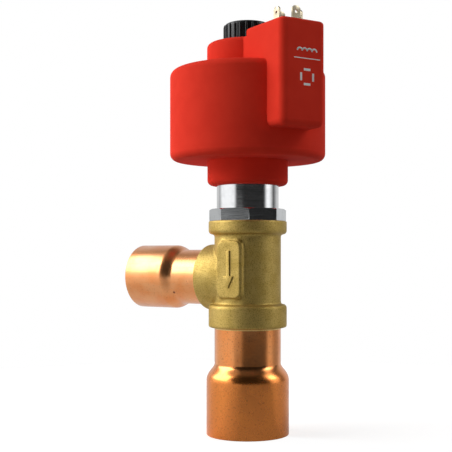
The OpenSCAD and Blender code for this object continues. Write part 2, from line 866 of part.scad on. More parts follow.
coil_housing();
yoke_cup(true);  // upper_yoke_cup
pole_plate(true);  // upper_pole_plate
bobbin(true);  // upper_bobbin
winding(true);  // upper_winding
yoke_cup(false);  // lower_yoke_cup
pole_plate(false);  // lower_pole_plate
bobbin(false);  // lower_bobbin
winding(false);  // lower_winding
terminal_blade(0);  // terminal_blade_1
terminal_blade(1);  // terminal_blade_2
terminal_blade(2);  // terminal_blade_3
terminal_blade(3);  // terminal_blade_4
winding_leads();
connector_insert();
neck_seal_ring();
fixing_nut();
nut_seal_ring();
motor_can();
can_stud();
cartridge_collar();
collar_gasket();
bearing_holder(upper_bearing_z, true);  // upper_bearing_holder
outer_race(upper_bearing_z);  // upper_bearing_outer_race
inner_race(upper_bearing_z);  // upper_bearing_inner_race
bearing_balls(upper_bearing_z);  // upper_bearing_balls
bearing_cage(upper_bearing_z);  // upper_bearing_cage
bearing_holder(lower_bearing_z, false);  // lower_bearing_holder
outer_race(lower_bearing_z);  // lower_bearing_outer_race
inner_race(lower_bearing_z);  // lower_bearing_inner_race
bearing_balls(lower_bearing_z);  // lower_bearing_balls
bearing_cage(lower_bearing_z);  // lower_bearing_cage
rotor_magnet();
rotor_hub();
lead_screw();
guide_sleeve();
carriage_nut();
plunger();
metering_cone();
plunger_seal();
seat_ring();
valve_body();
inlet_fitting();
outlet_fitting();
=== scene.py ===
"""Looks of an electronic expansion valve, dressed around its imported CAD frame.

Lengths are metres in the frame of the CAD part: the stem runs up +Z from the outlet's mouth, the inlet
points along -X, and the raised pad of the brass body faces -Y.
"""
import json
import logging
import math
from dataclasses import dataclass
from enum import Enum
from typing import Protocol, Sequence

import bmesh
import bpy
from mathutils import Matrix, Vector


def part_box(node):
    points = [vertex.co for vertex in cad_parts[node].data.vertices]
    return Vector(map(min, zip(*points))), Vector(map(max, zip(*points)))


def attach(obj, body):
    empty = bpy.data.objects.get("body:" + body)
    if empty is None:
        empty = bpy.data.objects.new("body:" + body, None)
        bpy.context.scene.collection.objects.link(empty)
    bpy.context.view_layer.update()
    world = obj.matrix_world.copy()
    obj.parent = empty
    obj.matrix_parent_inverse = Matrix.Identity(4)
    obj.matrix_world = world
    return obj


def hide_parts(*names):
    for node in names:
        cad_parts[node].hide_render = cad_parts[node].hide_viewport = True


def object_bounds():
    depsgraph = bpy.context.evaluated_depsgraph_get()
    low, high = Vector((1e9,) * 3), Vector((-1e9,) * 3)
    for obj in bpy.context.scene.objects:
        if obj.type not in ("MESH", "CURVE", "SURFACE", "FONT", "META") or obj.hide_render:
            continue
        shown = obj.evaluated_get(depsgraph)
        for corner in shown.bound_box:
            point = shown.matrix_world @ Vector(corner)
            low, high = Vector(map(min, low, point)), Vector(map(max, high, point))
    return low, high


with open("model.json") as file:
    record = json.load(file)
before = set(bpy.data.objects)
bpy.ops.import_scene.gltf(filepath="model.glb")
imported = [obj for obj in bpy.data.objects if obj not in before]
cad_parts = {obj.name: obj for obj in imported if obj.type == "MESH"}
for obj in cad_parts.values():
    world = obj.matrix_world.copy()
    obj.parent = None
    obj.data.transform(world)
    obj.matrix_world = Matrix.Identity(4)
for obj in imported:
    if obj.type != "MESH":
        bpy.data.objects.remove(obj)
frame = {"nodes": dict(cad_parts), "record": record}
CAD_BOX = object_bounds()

LOG = logging.getLogger("valve")
MM = 0.001
IMAGE_PIXELS = 452
WELD = 1e-7
CAD_WELD = 1e-6
LEVEL_SLACK = 1e-6
FLAT_ANGLE = 1e-3
BEVEL_FROM = math.radians(25)
NOISE_BAND = (0.3, 0.7)
BLOCK_TURN = math.radians(-25)
BLOCK_FACE = 45.3 * MM
CORNERS = ((-1, -1), (1, -1), (1, 1), (-1, 1))

Colour = tuple[float, float, float]
Point = tuple[float, float]
Material = bpy.types.Material
Piece = bpy.types.Object
Socket = bpy.types.NodeSocket
Value = float | Sequence[float] | Socket


class Slot(Enum):
    """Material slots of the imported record."""

    RED_OVERMOULD = "red_overmould"
    BLACK_NUT = "black_nut"
    BOBBIN_PLASTIC = "bobbin_plastic"
    SEAL_RUBBER = "seal_rubber"
    SEAL_PTFE = "seal_ptfe"
    BLADE_PLATE = "blade_plate"
    INSERT_BRASS = "insert_brass"
    WINDING_COPPER = "winding_copper"
    STATOR_IRON = "stator_iron"
    CAN_STEEL = "can_steel"
    COLLAR_STEEL = "collar_steel"
    BEARING_STEEL = "bearing_steel"
    CAGE_BRASS = "cage_brass"
    MAGNET_FERRITE = "magnet_ferrite"
    HUB_PLASTIC = "hub_plastic"
    MOVING_STEEL = "moving_steel"
    GUIDE_BRONZE = "guide_bronze"
    BODY_BRASS = "body_brass"
    PIPE_COPPER = "pipe_copper"


class Grain(Enum):
    """How the marks of a finish are stretched along X, Y and Z."""

    EVEN = (1.0, 1.0, 1.0)
    ALONG_X = (0.06, 1.0, 1.0)
    ALONG_Z = (1.0, 1.0, 0.06)
    AROUND_Z = (0.03, 0.03, 1.0)


class Lie(Enum):
    """Way that a fitting's axis lies, from its mouth to its neck."""

    UPRIGHT = "along +Z"
    SIDEWAYS = "along +X"


class NodeSheet:
    """Builds the nodes of one tree."""

    def __init__(self, tree: bpy.types.NodeTree) -> None:
        """Take the tree to build in."""
        self.tree, self.nodes, self.links = tree, tree.nodes, tree.links

    def feed(self, socket: Socket, value: Value) -> None:
        """Link a value to a socket, or set it there when it is constant.

        Args:
            socket: Input to fill.
            value: Output of another node, or a number or vector.
        """
        if isinstance(value, Socket):
            self.links.new(value, socket)
        else:
            socket.default_value = value

    def add(self, kind: str, inputs: dict[str | int, Value], **settings: str) -> Sequence[Socket]:
        """Add a node.

        Args:
            kind: Type of the node.
            inputs: Name or number of an input to its value.
            settings: Properties of the node.

        Returns:
            The node's outputs, by name or number.
        """
        node = self.nodes.new(kind)
        for name, value in settings.items():
            setattr(node, name, value)
        for name, value in inputs.items():
            self.feed(node.inputs[name], value)
        return node.outputs

    def maths(self, operation: str, *values: Value) -> Socket:
        """Combine numbers."""
        return self.add("ShaderNodeMath", dict(enumerate(values)), operation=operation)["Value"]

    def dot(self, vector: Socket, axis: Vector) -> Socket:
        """How far a vector points along an axis."""
        return self.add("ShaderNodeVectorMath", {0: vector, 1: axis}, operation="DOT_PRODUCT")["Value"]

    def span(self, value: Socket, low: float, high: float, start: float = 0.0, end: float = 1.0) -> Socket:
        """Smooth step from start, where a value is low, to end, where it is high."""
        limits = {"Value": value, "From Min": low, "From Max": high, "To Min": start, "To Max": end}
        return self.add("ShaderNodeMapRange", limits, interpolation_type="SMOOTHSTEP")["Result"]


class MaterialSheet(NodeSheet):
    """Builds the nodes of one surface material around its Principled shader."""

    MIX_FACTOR, MIX_A, MIX_B, MIX_RESULT = 0, 6, 7, 2

    def __init__(self, name: str) -> None:
        """Start a material that reads Object coordinates.

        Args:
            name: Name of the material.
        """
        self.material = bpy.data.materials.new(name)
        self.material.use_nodes = True
        super().__init__(self.material.node_tree)
        self.shader = self.nodes["Principled BSDF"]
        self.place = self.add("ShaderNodeTexCoord", {})["Object"]

    def surface(self, **values: Value) -> None:
        """Set the shader's inputs.

        Args:
            values: Input name, in lower case with underscores, to value.
        """
        for name, value in values.items():
            title = " ".join(word if word == "IOR" else word.title() for word in name.split("_"))
            self.feed(self.shader.inputs[title], value)

    def noise(self, size: float, detail: float = 2.0, grain: Grain = Grain.EVEN) -> Socket:
        """Noise between 0 and 1.

        Args:
            size: Width of one grain in metres.
            detail: Octaves of finer noise.
            grain: Direction that the grains are stretched in.

        Returns:
            The noise value.
        """
        scale = [stretch / size for stretch in grain.value]
        place = self.add("ShaderNodeMapping", {"Vector": self.place, "Scale": scale})["Vector"]
        return self.add("ShaderNodeTexNoise", {"Vector": place, "Scale": 1.0, "Detail": detail})["Fac"]

    def along(self, axis: str) -> Socket:
        """Place along one axis, in metres."""
        return self.add("ShaderNodeSeparateXYZ", {"Vector": self.place})[axis]

    def distance(self, point: Sequence[float]) -> Socket:
        """Distance from a point, in metres."""
        return self.add("ShaderNodeVectorMath", {0: self.place, 1: point}, operation="DISTANCE")["Value"]

    def vary(self, noise: Socket, middle: float, spread: Point) -> Socket:
        """Let a value vary with a noise, by a spread below and above its middle."""
        return self.span(noise, *NOISE_BAND, middle + spread[0], middle + spread[1])

    def blend(self, first: Colour | Socket, second: Colour | Socket, share: Value) -> Socket:
        """Mix two colours.

        Args:
            first: Colour where share is 0.
            second: Colour where share is 1.
            share: Share of the second colour.

        Returns:
            The mixed colour.
        """
        inputs: dict[str | int, Value] = {self.MIX_FACTOR: share}
        for index, colour in ((self.MIX_A, first), (self.MIX_B, second)):
            inputs[index] = colour if isinstance(colour, Socket) else (*colour, 1.0)
        return self.add("ShaderNodeMix", inputs, data_type="RGBA")[self.MIX_RESULT]

    def bump(self, height: Socket, depth: float, under: Socket | None = None) -> Socket:
        """Bend the surface's normal by a height.

        Args:
            height: Height between 0 and 1.
            depth: Height of 1 in metres.
            under: Normal to start from, where several bumps are stacked.

        Returns:
            The bent normal.
        """
        inputs: dict[str | int, Value] = {"Strength": 1.0, "Distance": depth, "Height": height}
        if under is not None:
            inputs["Normal"] = under
        return self.add("ShaderNodeBump", inputs)["Normal"]


class Finish(Protocol):
    """A surface finish that can paint a material."""

    def paint(self, name: str) -> Material:
        """Make the material under a name."""


@dataclass(frozen=True)
class Moulded:
    """Moulded plastic or rubber with a fine eroded grain and a slightly clouded colour."""

    colour: Colour
    shade: Colour
    roughness: float = 0.5
    specular: float = 0.5
    metallic: float = 0.0
    grain: Grain = Grain.EVEN
    line: float = 0.5 * MM
    depth: float = 0.025 * MM
    cloud: float = 9 * MM
    cloud_detail: float = 3.0
    cloud_band: Point = (0.65, 0.35)
    spread: Point = (-0.07, 0.07)

    def paint(self, name: str) -> Material:
        """Make the material.

        Args:
            name: Name of the material.

        Returns:
            The material.
        """
        sheet = MaterialSheet(name)
        line = sheet.noise(self.line, grain=self.grain)
        cloud = sheet.noise(self.cloud, detail=self.cloud_detail)
        sheet.surface(
            base_color=sheet.blend(self.colour, self.shade, sheet.span(cloud, *self.cloud_band)),
            metallic=self.metallic,
            roughness=sheet.vary(line, self.roughness, self.spread),
            specular_IOR_level=self.specular,
            normal=sheet.bump(line, self.depth),
        )
        return sheet.material


@dataclass(frozen=True)
class Machined(Moulded):
    """Metal with fine tool lines and slight clouding, plated or bare."""

    roughness: float = 0.2
    metallic: float = 1.0
    grain: Grain = Grain.AROUND_Z
    line: float = 0.22 * MM
    depth: float = 0.002 * MM
    cloud: float = 5 * MM
    cloud_detail: float = 2.0
    cloud_band: Point = (0.4, 0.75)
    spread: Point = (-0.04, 0.05)


@dataclass(frozen=True)
class Blasted:
    """Forged metal, sand-blasted to a fine speckle."""

    colour: Colour
    pit: Colour
    tint: Colour
    roughness: float = 0.5
    speckle: float = 0.45 * MM
    speckle_band: Point = (0.3, 0.55)
    depth: float = 0.06 * MM
    patch: float = 7 * MM
    patch_band: Point = (0.4, 0.7)
    spread: Point = (-0.05, 0.06)

    def paint(self, name: str) -> Material:
        """Make the material.

        Args:
            name: Name of the material.

        Returns:
            The material.
        """
        sheet = MaterialSheet(name)
        speckle = sheet.noise(self.speckle, detail=3.0)
        patch = sheet.noise(self.patch)
        clean = sheet.blend(self.colour, self.tint, sheet.span(patch, *self.patch_band))
        sheet.surface(
            base_color=sheet.blend(self.pit, clean, sheet.span(speckle, *self.speckle_band)),
            metallic=1.0,
            roughness=sheet.vary(patch, self.roughness, self.spread),
            normal=sheet.bump(speckle, self.depth),
        )
        return sheet.material


@dataclass(frozen=True)
class Drawn:
    """Drawn and annealed copper tube: faint streaks along it, warm tints, specks and a soft orange peel.

    The shoulder gives the places along the axis where the bell's satin ends and the neck's polish begins.
    """

    bell: Colour
    neck: Colour
    grain: Grain
    axis: str
    shoulder: Point
    tint: Colour = (0.82, 0.265, 0.065)
    # Colour of the stained specks, and also the painted shade in the middle of the dimple.
    stain_and_dent_shade: Colour = (0.26, 0.08, 0.03)
    satin: float = 0.26
    bright: float = 0.2
    spread: Point = (-0.03, 0.04)
    coat: float = 0.2
    coat_roughness: float = 0.16
    streak: float = 0.9 * MM
    streak_band: Point = (0.5, 0.8)
    streaks: float = 0.35
    speck: float = 0.75 * MM
    speck_band: Point = (0.56, 0.76)
    speck_depth: float = 0.004 * MM
    specks: float = 0.4
    cloud: float = 8 * MM
    cloud_band: Point = (0.35, 0.7)
    clouds: float = 0.6
    peel: float = 0.03 * MM
    dimple: tuple[float, float, float] | None = None
    dimple_size: Point = (0.25 * MM, 0.8 * MM)
    dimple_depth: float = 0.25 * MM

    def paint(self, name: str) -> Material:
        """Make the material.

        Args:
            name: Name of the material.

        Returns:
            The material.
        """
        sheet = MaterialSheet(name)
        streak = sheet.noise(self.streak, grain=self.grain)
        speck = sheet.noise(self.speck, detail=1.0)
        cloud = sheet.noise(self.cloud)
        place = sheet.along(self.axis)
        polish = sheet.span(place, *self.shoulder, self.satin, self.bright)
        worked = sheet.blend(self.bell, self.neck, sheet.span(place, *self.shoulder))
        warm = sheet.blend(worked, self.tint, sheet.span(cloud, *self.cloud_band, 0.0, self.clouds))
        lined = sheet.blend(warm, self.tint, sheet.span(streak, *self.streak_band, 0.0, self.streaks))
        specked = sheet.blend(lined, self.stain_and_dent_shade, sheet.span(speck, *self.speck_band, 0.0, self.specks))
        normal = sheet.bump(cloud, self.peel, sheet.bump(speck, self.speck_depth))
        # Painted shade: the dimple's middle takes the dark stain colour, for the shade inside the dent, and
        # its bump sinks it.
        if self.dimple is not None:
            away = sheet.span(sheet.distance(self.dimple), *self.dimple_size)
            specked = sheet.blend(self.stain_and_dent_shade, specked, away)
            normal = sheet.bump(away, self.dimple_depth, normal)
        sheet.surface(
            base_color=specked,
            metallic=1.0,
            roughness=sheet.maths("ADD", polish, sheet.vary(cloud, 0.0, self.spread)),
            coat_weight=self.coat,
            coat_roughness=self.coat_roughness,
            normal=normal,
        )
        return sheet.material


FINISHES: dict[Slot, Finish] = {
    Slot.RED_OVERMOULD: Moulded((0.77, 0.041, 0.021), (0.74, 0.037, 0.019), roughness=0.85, specular=0.05),
    Slot.BLACK_NUT: Moulded(
        (0.006, 0.006, 0.007), (0.004, 0.004, 0.005), roughness=0.32, specular=0.4, depth=0.012 * MM),
    Slot.BOBBIN_PLASTIC: Moulded((0.70, 0.65, 0.50), (0.62, 0.57, 0.43)),
    Slot.SEAL_RUBBER: Moulded((0.014, 0.014, 0.014), (0.009, 0.009, 0.009), roughness=0.62),
    Slot.SEAL_PTFE: Moulded((0.82, 0.82, 0.79), (0.76, 0.76, 0.72), roughness=0.42),
    Slot.HUB_PLASTIC: Moulded((0.66, 0.62, 0.50), (0.58, 0.54, 0.42)),
    Slot.BLADE_PLATE: Machined((0.50, 0.44, 0.32), (0.43, 0.37, 0.26), roughness=0.28, grain=Grain.ALONG_Z),
    Slot.INSERT_BRASS: Machined((0.78, 0.57, 0.22), (0.68, 0.46, 0.15), roughness=0.26),
    Slot.CAGE_BRASS: Machined((0.75, 0.54, 0.21), (0.65, 0.44, 0.15), roughness=0.3),
    Slot.GUIDE_BRONZE: Machined((0.72, 0.52, 0.24), (0.62, 0.42, 0.17), roughness=0.28),
    Slot.WINDING_COPPER: Machined((0.62, 0.20, 0.06), (0.50, 0.14, 0.04), roughness=0.3, line=0.35 * MM),
    Slot.STATOR_IRON: Machined((0.42, 0.43, 0.45), (0.34, 0.35, 0.36), roughness=0.38),
    Slot.CAN_STEEL: Machined((0.74, 0.75, 0.76), (0.66, 0.67, 0.68), roughness=0.13),
    Slot.COLLAR_STEEL: Machined((0.66, 0.68, 0.69), (0.58, 0.60, 0.61), roughness=0.11),
    Slot.BEARING_STEEL: Machined((0.70, 0.71, 0.72), (0.64, 0.65, 0.66), roughness=0.1),
    Slot.MOVING_STEEL: Machined((0.68, 0.69, 0.70), (0.60, 0.61, 0.62), roughness=0.22),
    Slot.MAGNET_FERRITE: Moulded((0.035, 0.035, 0.037), (0.025, 0.025, 0.027), roughness=0.48),
    Slot.BODY_BRASS: Blasted((0.58, 0.42, 0.13), (0.34, 0.235, 0.055), (0.53, 0.38, 0.105), roughness=0.58),
}


class FinishShelf:
    """Paints each finish of the record once, and dresses the pieces with it."""

    def __init__(self) -> None:
        """Start with nothing painted."""
        self.painted: dict[Slot, Material] = {}

    def take(self, slot: Slot) -> Material:
        """Hand out the material of a slot, painted when it is first asked for.

        Args:
            slot: Material slot.

        Returns:
            Its material.
        """
        if slot not in self.painted:
            self.painted[slot] = FINISHES[slot].paint(slot.value)
        return self.painted[slot]

    def seat(self, piece: Piece, body: str, slot: Slot, *nodes: str,
             material: Material | None = None) -> None:
        """Dress a finished piece and let it ride on its body.

        Args:
            piece: Finished piece.
            body: CAD body that it moves with.
            slot: Material slot that it takes its finish from.
            nodes: CAD nodes that it stands for.
            material: Material of its own, in place of the slot's.
        """
        piece.data.materials.clear()
        piece.data.materials.append(material or self.take(slot))
        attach(piece, body)
        if nodes:
            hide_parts(*nodes)
        LOG.info("%s rides on %s with %d faces", piece.name, body, len(piece.data.polygons))


class Assembly:
    """A sub-assembly, dressed from the one shelf of finishes."""

    shelf = FinishShelf()


def ease(share: float) -> float:
    """A smooth step from 0 to 1."""
    return share * share * (3 - 2 * share)


def arc(centre: Point, radius: float, start: float, end: float, count: int = 6) -> list[Point]:
    """Points of a circular arc, in count steps from one angle in degrees to another."""
    angles = [math.radians(start + (end - start) * i / count) for i in range(count + 1)]
    return [(centre[0] + radius * math.cos(a), centre[1] + radius * math.sin(a)) for a in angles]


def as_piece(name: str, shape: bmesh.types.BMesh, clean: bool = True) -> Piece:
    """Put an edited mesh into the scene as a piece at the origin.

    Args:
        name: Name of the piece.
        shape: Edited mesh, which is freed.
        clean: Whether it is welded first and its normals are turned outward.

    Returns:
        The piece.
    """
    if clean:
        bmesh.ops.remove_doubles(shape, verts=shape.verts, dist=WELD)
        bmesh.ops.recalc_face_normals(shape, faces=shape.faces)
    mesh = bpy.data.meshes.new(name)
    shape.to_mesh(mesh)
    shape.free()
    piece = bpy.data.objects.new(name, mesh)
    bpy.context.scene.collection.objects.link(piece)
    return piece


def lathe(name: str, outline: Sequence[Point], steps: int, ring: bool = True) -> Piece:
    """Turn an outline of (radius, height) around Z.

    Args:
        name: Name of the piece.
        outline: Corners of the outline, in order.
        steps: Steps around the axis.
        ring: Whether the last corner joins the first; without it both ends lie on the axis.

    Returns:
        The turned piece.
    """
    shape = bmesh.new()
    turns = [(math.cos(math.tau * i / steps), math.sin(math.tau * i / steps)) for i in range(steps)]
    rows = [[shape.verts.new((r * c, r * s, z)) for c, s in turns] for r, z in outline]
    for low, high in zip(rows, rows[1:] + rows[:1] if ring else rows[1:]):
        for i in range(steps):
            j = (i + 1) % steps
            shape.faces.new((low[i], low[j], high[j], high[i]))
    return as_piece(name, shape)


def plate(name: str, outline: Sequence[Point], low: float, high: float) -> Piece:
    """Raise a flat outline in X and Y between two heights.

    Args:
        name: Name of the piece.
        outline: Corners of the outline, in order.
        low: Height of the underside.
        high: Height of the top.

    Returns:
        The raised piece.
    """
    shape = bmesh.new()
    base = shape.faces.new([shape.verts.new((x, y, low)) for x, y in outline])
    raised = bmesh.ops.extrude_face_region(shape, geom=[base])["geom"]
    lifted = [item for item in raised if isinstance(item, bmesh.types.BMVert)]
    bmesh.ops.translate(shape, verts=lifted, vec=(0, 0, high - low))
    return as_piece(name, shape)


def cad_copy(node: str, name: str) -> Piece:
    """Welded copy of a CAD node's mesh, to be worked on.

    Args:
        node: Name of the CAD node.
        name: Name of the copy.

    Returns:
        The copy.
    """
    shape = bmesh.new()
    shape.from_mesh(frame["nodes"][node].data)
    bmesh.ops.remove_doubles(shape, verts=shape.verts, dist=CAD_WELD)
    return as_piece(name, shape, clean=False)


def modify(piece: Piece, kind: str, inputs: dict[str, float] | None = None,
           **settings: float | str | Piece | bpy.types.NodeTree) -> Piece:
    """Run one modifier on a piece and keep the result as plain mesh.

    Args:
        piece: Piece to change.
        kind: Type of the modifier.
        inputs: Identifier to value, for a modifier that runs Geometry Nodes.
        settings: Properties of the modifier.

    Returns:
        The same piece, without modifiers.
    """
    modifier = piece.modifiers.new(kind, kind)
    for name, value in settings.items():
        setattr(modifier, name, value)
    for identifier, value in (inputs or {}).items():
        modifier[identifier] = value
    graph = bpy.context.evaluated_depsgraph_get()
    mesh = bpy.data.meshes.new_from_object(piece.evaluated_get(graph), depsgraph=graph)
    piece.modifiers.clear()
    piece.data = mesh
    return piece


def soften(piece: Piece, width: float) -> Piece:
    """Round the sharp edges of a piece by a width."""
    return modify(piece, "BEVEL", width=width, segments=2, limit_method="ANGLE", angle_limit=BEVEL_FROM)


def even(piece: Piece) -> Piece:
    """Let large flat faces of a smooth piece keep their own normals beside small rounded ones."""
    return modify(piece, "WEIGHTED_NORMAL", mode="FACE_AREA", weight=100, keep_sharp=True)


def smooth(piece: Piece, crease: float = 40.0) -> Piece:
    """Shade a piece smooth, apart from its creases.

    Args:
        piece: Piece to shade.
        crease: Angle in degrees from which an edge stays sharp.

    Returns:
        The same piece.
    """
    piece.data.polygons.foreach_set("use_smooth", [True] * len(piece.data.polygons))
    piece.data.set_sharp_from_angle(angle=math.radians(crease))
    return piece


def join(name: str, pieces: Sequence[Piece]) -> Piece:
    """Merge several pieces into one.

    Args:
        name: Name of the new piece.
        pieces: Pieces to merge, which are removed.

    Returns:
        The new piece.
    """
    shape = bmesh.new()
    for piece in pieces:
        shape.from_mesh(piece.data)
        bpy.data.objects.remove(piece)
    return as_piece(name, shape, clean=False)


def carve(piece: Piece, tool: Piece) -> Piece:
    """Cut a tool out of a piece.

    Args:
        piece: Piece to cut.
        tool: Closed shape to take away, which is removed.

    Returns:
        The same piece.
    """
    modify(piece, "BOOLEAN", operation="DIFFERENCE", solver="EXACT", object=tool)
    bpy.data.objects.remove(tool)
    return piece


def round_rim(piece: Piece, level: float, width: float, segments: int) -> None:
    """Round the edges around a flat face of a piece.

    Args:
        piece: Piece with a level top or underside.
        level: Height of that face.
        width: Width of the rounding.
        segments: Steps across it.
    """
    shape = bmesh.new()
    shape.from_mesh(piece.data)
    bmesh.ops.dissolve_limit(shape, angle_limit=FLAT_ANGLE, verts=shape.verts, edges=shape.edges)
    edges = [edge for edge in shape.edges if all(abs(level - vert.co.z) < LEVEL_SLACK for vert in edge.verts)]
    bmesh.ops.bevel(shape, geom=edges, offset=width, segments=segments, profile=0.5, affect="EDGES")
    shape.to_mesh(piece.data)
    shape.free()


class GeometryTree(NodeSheet):
    """A Geometry Nodes tree with named inputs, made into plain mesh on a piece."""

    def __init__(self, name: str) -> None:
        """Start a tree that takes a piece's own mesh and hands back a new one.

        Args:
            name: Name of the tree.
        """
        super().__init__(bpy.data.node_groups.new(name, "GeometryNodeTree"))
        for way in ("INPUT", "OUTPUT"):
            self.tree.interface.new_socket("Geometry", in_out=way, socket_type="NodeSocketGeometry")
        self.source = self.nodes.new("NodeGroupInput")
        self.sink = self.nodes.new("NodeGroupOutput")
        self.identifiers: dict[str, str] = {}

    def size(self, name: str, kind: str = "NodeSocketFloat") -> Socket:
        """Add a named input.

        Args:
            name: Name of the input.
            kind: Type of its socket.

        Returns:
            Its value inside the tree.
        """
        socket = self.tree.interface.new_socket(name, in_out="INPUT", socket_type=kind)
        self.identifiers[name] = socket.identifier
        return self.source.outputs[name]

    def count(self, name: str) -> Socket:
        """Add a named input that counts whole things."""
        return self.size(name, "NodeSocketInt")

    def vector(self, **parts: Value) -> Socket:
        """A vector with the given X, Y and Z."""
        return self.add("ShaderNodeCombineXYZ", parts)["Vector"]

    def lift(self, shape: Socket, height: Value) -> Socket:
        """Move a shape up."""
        inputs = {"Geometry": shape, "Translation": self.vector(Z=height)}
        return self.add("GeometryNodeTransform", inputs)["Geometry"]

    def sweep(self, curve: Socket, section: Socket) -> Socket:
        """Draw a section along a level curve, with closed ends.

        Args:
            curve: Curve to follow.
            section: Outline to draw along it.

        Returns:
            The swept shape.
        """
        level = self.add("GeometryNodeSetCurveNormal", {"Curve": curve}, mode="Z_UP")["Curve"]
        inputs = {"Curve": level, "Profile Curve": section, "Fill Caps": True}
        return self.add("GeometryNodeCurveToMesh", inputs)["Mesh"]

    def gather(self, *parts: Socket) -> Socket:
        """Join shapes into one.

        Args:
            parts: Shapes to join.

        Returns:
            The joined shape.
        """
        joined = self.nodes.new("GeometryNodeJoinGeometry")
        for part in parts:
            self.links.new(part, joined.inputs["Geometry"])
        return joined.outputs["Geometry"]

    def scatter(self, places: Socket, shape: Socket) -> Socket:
        """Set a shape at each of several places."""
        return self.add("GeometryNodeInstanceOnPoints", {"Points": places, "Instance": shape})["Instances"]

    def run(self, piece: Piece, shape: Socket, sizes: dict[str, float | int]) -> Piece:
        """Run the tree on a piece.

        Args:
            piece: Piece whose mesh goes in.
            shape: Shape that the tree adds to it.
            sizes: Input name to value.

        Returns:
            The same piece with the new plain mesh.
        """
        whole = self.gather(self.source.outputs["Geometry"], shape)
        real = self.add("GeometryNodeRealizeInstances", {"Geometry": whole})["Geometry"]
        self.links.new(real, self.sink.inputs["Geometry"])
        inputs = {self.identifiers[name]: value for name, value in sizes.items()}
        return modify(piece, "NODES", inputs, node_group=self.tree)


@dataclass
class BelledFitting(Assembly):
    """A copper fitting with a belled socket and a plain neck that is brazed into the body."""

    node: str
    lie: Lie
    wall: float
    bell_length: float
    shoulder_length: float
    neck_radius: float
    insert: float
    finish: Drawn
    rim: float = 0.35 * MM
    rim_steps: int = 4
    shoulder_steps: int = 24
    shoulder_skew: float = 1.5
    bead: float = 0.7 * MM

    def __post_init__(self) -> None:
        """Take the fitting's place and outer size from its CAD node."""
        low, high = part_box(self.node)
        self.bell_radius = (high.y - low.y) / 2
        if self.lie is Lie.UPRIGHT:
            self.length = high.z - low.z
            self.placing = Matrix.Translation((0, 0, low.z))
        else:
            self.length = high.x - low.x
            middle = (low.z + high.z) / 2
            self.placing = Matrix.Translation((low.x, 0, middle)) @ Matrix.Rotation(math.pi / 2, 4, "Y")

    def wall_line(self, bell: float, neck: float) -> list[Point]:
        """Outline of one side of the wall, from the shoulder to the end of the neck.

        Args:
            bell: Radius of the bell on that side.
            neck: Radius of the neck on that side.

        Returns:
            The outline's (radius, height) corners.
        """
        shares = [i / self.shoulder_steps for i in range(self.shoulder_steps + 1)]
        drops = [ease(share ** self.shoulder_skew) for share in shares]
        heights = [self.bell_length + self.shoulder_length * share for share in shares]
        shoulder = [(bell + (neck - bell) * drop, height) for drop, height in zip(drops, heights)]
        return [*shoulder, (neck, self.length)]

    def build(self) -> None:
        """Turn the fitting and the concave bead of braze between its neck and the body."""
        outer, inner, neck = self.bell_radius, self.bell_radius - self.wall, self.neck_radius
        outside, inside = self.wall_line(outer, neck), self.wall_line(inner, neck - self.wall)
        lip = arc((inner + self.rim, self.rim), self.rim, 180, 270, self.rim_steps)
        lip += arc((outer - self.rim, self.rim), self.rim, 270, 360, self.rim_steps)
        tube = lathe(self.node.replace("fitting", "tube"), [*lip, *outside, *reversed(inside)], steps=192)
        tube.data.transform(self.placing)
        copper = self.finish.paint(tube.name)
        self.shelf.seat(smooth(tube), "valve", Slot.PIPE_COPPER, self.node, material=copper)
        face = self.length - self.insert
        hollow = arc((neck + self.bead, face - self.bead), self.bead, 180, 90)
        bead = lathe(self.node.replace("fitting", "bead"), [*hollow, (neck, face)], steps=128)
        bead.data.transform(self.placing)
        self.shelf.seat(smooth(bead), "valve", Slot.INSERT_BRASS)


@dataclass
class ForgedBody(Assembly):
    """The sand-blasted brass body, with forged edges and a raised flow arrow on its pad."""

    voxel: float = 0.4 * MM
    melt: int = 3
    melt_factor: float = 0.5
    pad_face: float = 16.1 * MM
    pad_middle: float = 75.85 * MM
    arrow_length: float = 17 * MM
    arrow_shaft: float = 1.8 * MM
    arrow_head: float = 5.6 * MM
    arrow_height: float = 0.55 * MM
    arrow_edge: float = 0.22 * MM

    def build(self) -> None:
        """Melt the edges of the CAD body and set the arrow on its pad."""
        forging = cad_copy("valve_body", "forged_body")
        modify(forging, "REMESH", mode="VOXEL", voxel_size=self.voxel)
        modify(forging, "SMOOTH", factor=self.melt_factor, iterations=self.melt)
        self.shelf.seat(smooth(forging, crease=60), "valve", Slot.BODY_BRASS, "valve_body")
        self.shelf.seat(smooth(self.arrow(), crease=60), "valve", Slot.BODY_BRASS)

    def arrow(self) -> Piece:
        """Raised arrow that points down the stem, towards the outlet.

        Returns:
            The arrow on the pad.
        """
        half, shaft, head = self.arrow_length / 2, self.arrow_shaft / 2, self.arrow_head / 2
        neck = 2 * head - half
        outline = [(shaft, half), (-shaft, half), (-shaft, neck), (-head, neck), (0, -half), (head, neck),
                   (shaft, neck)]
        arrow = soften(plate("flow_arrow", outline, -self.arrow_height, self.arrow_height), self.arrow_edge)
        upright = Matrix.Rotation(math.pi / 2, 4, "X")
        arrow.data.transform(Matrix.Translation((0, -self.pad_face, self.pad_middle)) @ upright)
        return arrow


